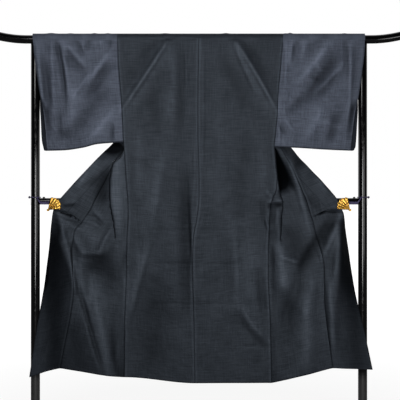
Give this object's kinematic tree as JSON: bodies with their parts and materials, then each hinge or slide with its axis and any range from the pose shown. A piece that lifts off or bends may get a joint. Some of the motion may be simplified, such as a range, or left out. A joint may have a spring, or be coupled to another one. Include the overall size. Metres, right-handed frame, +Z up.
{
  "type": "kimono on a kimono stand",
  "caption": "Kimono hung by its shoulders over the rail of an upright stand, its back shown and its fronts drawn out sideways by clips.",
  "frame": {"origin": "on the floor, midway between the posts, under the middle of the rail", "axes": "+X along the rail, to the right of a viewer of the garment's back; +Y from that viewer towards the garment's front; +Z up"},
  "size_m": [1.7494, 0.44, 1.6107],
  "materials": {
    "cloth": "dark navy-charcoal slubbed silk with a faint sheen",
    "lacquer": "glossy black lacquer",
    "clip_gold": "polished gilt",
    "strap_cord": "dark purple ribbon and cord"
  },
  "bodies": {
    "root": {"body_left": "cloth", "body_right": "cloth", "okumi_left": "cloth", "okumi_right": "cloth", "sleeve_left": "cloth", "sleeve_right": "cloth", "collar": "cloth", "top_rail": "lacquer", "middle_bar": "lacquer", "post_left": "lacquer", "post_right": "lacquer", "foot_left": "lacquer", "foot_right": "lacquer", "socket_left": "lacquer", "socket_right": "lacquer", "clip_left": "clip_gold", "clip_right": "clip_gold", "strap_left": "strap_cord", "strap_right": "strap_cord"}
  },
  "joints": []
}
